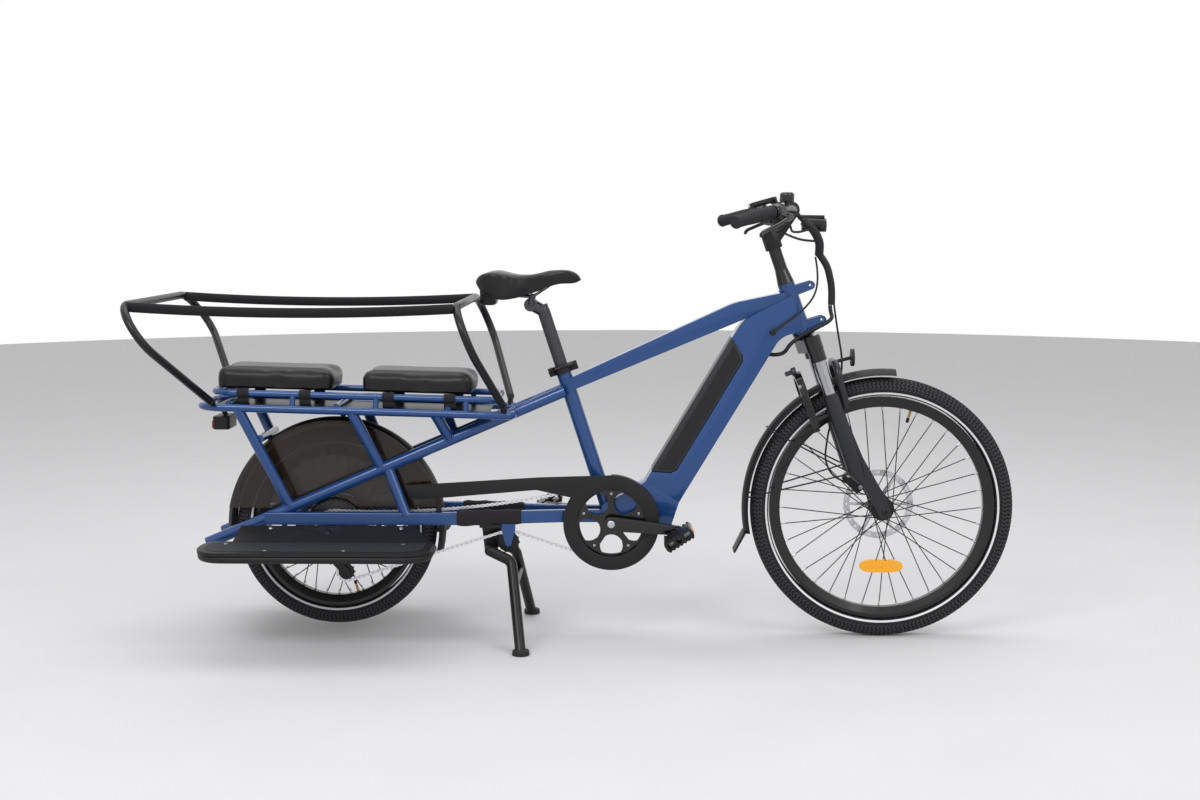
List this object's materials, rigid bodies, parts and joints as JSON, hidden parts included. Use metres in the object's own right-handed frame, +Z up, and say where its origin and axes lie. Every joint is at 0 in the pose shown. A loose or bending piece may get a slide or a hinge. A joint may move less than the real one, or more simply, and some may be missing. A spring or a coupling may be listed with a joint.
{
  "type": "longtail cargo bicycle",
  "caption": "Electric longtail cargo bicycle with a long rear rack, passenger pads inside a guard rail, footboards, suspension fork and a double-leg centre stand.",
  "frame": {"origin": "on the floor under the middle of the whole bicycle as it stands on its centre stand", "axes": "+X forward, +Y to the rider's left, +Z up"},
  "size_m": [2.1964, 0.6476, 1.133],
  "materials": {
    "frame_blue": "satin metallic blue paint",
    "black_metal": "satin black powder coat",
    "tyre_rubber": "matt black rubber",
    "rim_black": "satin black anodised",
    "steel": "brushed",
    "chrome": "polished",
    "chain_steel": "bright",
    "black_plastic": "fine grain",
    "smoked": "smoked translucent",
    "vinyl": "fine grained black vinyl",
    "foam": "closed-cell foam",
    "rubber": "matt",
    "reflector_white": "clear prismatic",
    "cable_black": "satin sleeve",
    "lamp": "glossy"
  },
  "bodies": {
    "frame": {"head_tube": "frame_blue", "top_tube": "frame_blue", "down_tube": "frame_blue", "bracket_shell": "frame_blue", "seat_tube": "frame_blue", "side_tubes": "frame_blue", "lower_stays": "frame_blue", "rack_rails": "frame_blue", "rack_struts": "frame_blue", "battery": "black_plastic", "footboards": "black_plastic", "chain_case": "black_plastic", "rear_mudguard": "black_plastic", "rack_deck": "black_metal", "rear_caliper": "black_metal", "seat_clamp": "black_metal", "guard_hoops": "black_metal", "stand_bracket": "black_metal", "derailleur": "black_metal", "chain_idler": "black_metal", "guard_side_rails": "foam", "rear_pad": "vinyl", "front_pad": "vinyl", "chain": "chain_steel", "rear_axle": "steel", "mudguard_skirts": "smoked", "tail_light": "lamp", "head_cables": "cable_black"},
    "front_wheel": {"front_tyre": "tyre_rubber", "front_rim": "rim_black", "front_hub": "rim_black", "front_rotor": "steel"},
    "rear_wheel": {"rear_tyre": "tyre_rubber", "rear_rim": "rim_black", "rear_hub": "rim_black", "rear_rotor": "steel", "cassette": "steel"},
    "cranks": {"chainring": "black_metal", "crank_arms": "black_metal"},
    "pedal_right_body": {"pedal_right": "black_metal"},
    "pedal_left_body": {"pedal_left": "black_metal"},
    "stand": {"centre_stand": "black_metal"},
    "seat": {"seat_post": "black_metal", "saddle": "vinyl"},
    "steering": {"stanchions": "chrome", "fork_upper": "black_metal", "front_reflector": "reflector_white", "steering_cables": "cable_black", "fork_lower": "black_metal", "stem": "black_metal", "handlebar": "black_metal", "brake_levers": "black_metal", "front_caliper": "black_metal", "front_mudguard": "black_plastic", "bar_fittings": "black_plastic", "wheel_lock": "black_plastic", "grips": "rubber", "headlight": "lamp"}
  },
  "joints": [
    {"name": "steering", "type": "hinge", "parent": "frame", "child": "steering", "pos_m": [0.55347, 0, 0.78091], "axis": [-0.3256, 0, 0.9455], "range_deg": [-60, 60], "deforming": ["head_cables"]},
    {"name": "front_wheel_spin", "type": "hinge", "parent": "steering", "child": "front_wheel", "pos_m": [0.759, 0, 0.3345], "axis": [0, 1, 0], "continuous": true},
    {"name": "rear_wheel_spin", "type": "hinge", "parent": "frame", "child": "rear_wheel", "pos_m": [-0.638, 0, 0.285], "axis": [0, 1, 0], "continuous": true},
    {"name": "crank_spin", "type": "hinge", "parent": "frame", "child": "cranks", "pos_m": [0.07, 0, 0.303], "axis": [0, 1, 0], "continuous": true},
    {"name": "pedal_right_spin", "type": "hinge", "parent": "cranks", "child": "pedal_right_body", "pos_m": [0.23922, -0.16, 0.28671], "axis": [0, 1, 0], "continuous": true},
    {"name": "pedal_left_spin", "type": "hinge", "parent": "cranks", "child": "pedal_left_body", "pos_m": [-0.09922, 0.16, 0.31929], "axis": [0, 1, 0], "continuous": true},
    {"name": "stand_fold", "type": "hinge", "parent": "frame", "child": "stand", "pos_m": [-0.238, 0, 0.232], "axis": [0, 1, 0], "range_deg": [0, 100]},
    {"name": "seat_height", "type": "slide", "parent": "frame", "child": "seat", "axis": [-0.3074, 0, 0.9516], "range_m": [-0.1, 0.06]}
  ]
}
